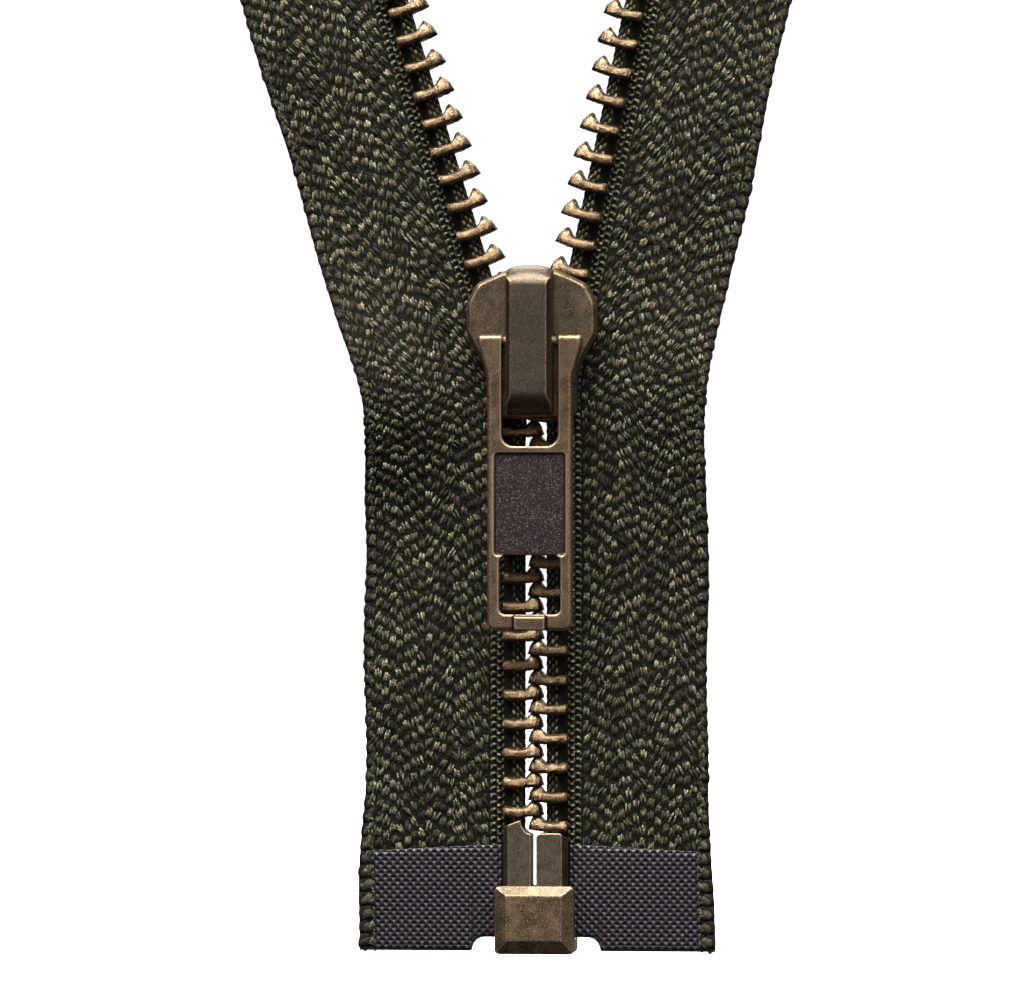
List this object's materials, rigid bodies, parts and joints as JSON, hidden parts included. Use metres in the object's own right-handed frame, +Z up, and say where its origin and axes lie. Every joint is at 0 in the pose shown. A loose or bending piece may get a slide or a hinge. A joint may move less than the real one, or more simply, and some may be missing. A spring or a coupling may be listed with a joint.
{
  "type": "metal zipper",
  "caption": "Separating metal zipper: two woven tapes with meshed teeth, closed up to an auto-lock slider with a hinged pull, over a box and pins at its foot.",
  "frame": {"origin": "centre of the retaining box's bottom face, where a zipper's length is measured from", "axes": "+Z up the chain towards the open end, +X across the tapes to the right as seen from the pull side, -Y the pull side and +Y the back"},
  "size_m": [0.0507, 0.0082, 0.0927],
  "materials": {
    "tape": "olive brown woven herringbone tape",
    "cord": "twisted filler cord",
    "teeth_brass": "antique brass, worn bright on the edges",
    "slider_brass": "dark antique brass, fine grained, worn edges",
    "pull_brass": "antique brass rim, dark sunk panel",
    "box_brass": "antique brass, worn bright on the bevels",
    "pin_brass": "dark antique brass",
    "spring_steel": "plain spring steel",
    "film": "embossed dark purple-brown film"
  },
  "bodies": {
    "root": {"retaining_box": "box_brass", "retaining_pin": "pin_brass", "insertion_pin": "pin_brass", "left_film_front": "film", "left_film_back": "film", "left_tape_lower": "tape", "left_cord_lower": "cord", "left_teeth_lower": "teeth_brass", "right_film_front": "film", "right_film_back": "film", "right_tape_lower": "tape", "right_cord_lower": "cord", "right_teeth_lower": "teeth_brass"},
    "slider": {"slider_body": "slider_brass", "slider_crown": "slider_brass", "lock_spring": "spring_steel"},
    "pawl": {"lock_pawl": "spring_steel"},
    "pull": {"pull_tab": "pull_brass"},
    "left_arm": {"left_tape_arm": "tape", "left_cord_arm": "cord", "left_teeth_arm": "teeth_brass"},
    "left_tip": {"left_tape_tip": "tape", "left_cord_tip": "cord", "left_teeth_tip": "teeth_brass", "left_top_stop": "teeth_brass"},
    "right_arm": {"right_tape_arm": "tape", "right_cord_arm": "cord", "right_teeth_arm": "teeth_brass"},
    "right_tip": {"right_tape_tip": "tape", "right_cord_tip": "cord", "right_teeth_tip": "teeth_brass", "right_top_stop": "teeth_brass"}
  },
  "joints": [
    {"name": "slider_travel", "type": "slide", "parent": "root", "child": "slider", "axis": [0, 0, 1], "range_m": [0, 0.0254], "deforming": ["left_tape_arm", "left_tape_tip", "left_cord_arm", "left_cord_tip", "left_teeth_arm", "left_teeth_tip", "left_top_stop", "right_tape_arm", "right_tape_tip", "right_cord_arm", "right_cord_tip", "right_teeth_arm", "right_teeth_tip", "right_top_stop"]},
    {"name": "pull_swing", "type": "hinge", "parent": "slider", "child": "pull", "pos_m": [-0.0002, -0.0034, 0.05315], "axis": [-1, 0, 0], "range_deg": [0, 165]},
    {"name": "pawl_lift", "type": "slide", "parent": "slider", "child": "pawl", "axis": [0, -1, 0], "range_m": [0, 0.0006], "deforming": ["lock_spring"]},
    {"name": "left_arm_close", "type": "hinge", "parent": "root", "child": "left_arm", "pos_m": [-0.00175, 0, 0.04915], "axis": [0, 1, 0], "range_deg": [0, 17]},
    {"name": "left_tip_bend", "type": "hinge", "parent": "left_arm", "child": "left_tip", "pos_m": [-0.00918, 0, 0.07344], "axis": [0, -1, 0], "range_deg": [0, 17]},
    {"name": "right_arm_close", "type": "hinge", "parent": "root", "child": "right_arm", "pos_m": [0.00175, 0, 0.05042], "axis": [0, -1, 0], "range_deg": [0, 12]},
    {"name": "right_tip_bend", "type": "hinge", "parent": "right_arm", "child": "right_tip", "pos_m": [0.00703, 0, 0.07526], "axis": [0, 1, 0], "range_deg": [0, 12]}
  ],
  "couplings": [
    {"joint": "pawl_lift", "follows": "pull_swing", "m_per_rad": 0.00020814},
    {"joint": "left_arm_close", "follows": "slider_travel", "rad_per_m": 11.681},
    {"joint": "left_tip_bend", "follows": "slider_travel", "rad_per_m": 11.681},
    {"joint": "right_arm_close", "follows": "slider_travel", "rad_per_m": 8.2456},
    {"joint": "right_tip_bend", "follows": "slider_travel", "rad_per_m": 8.2456}
  ]
}
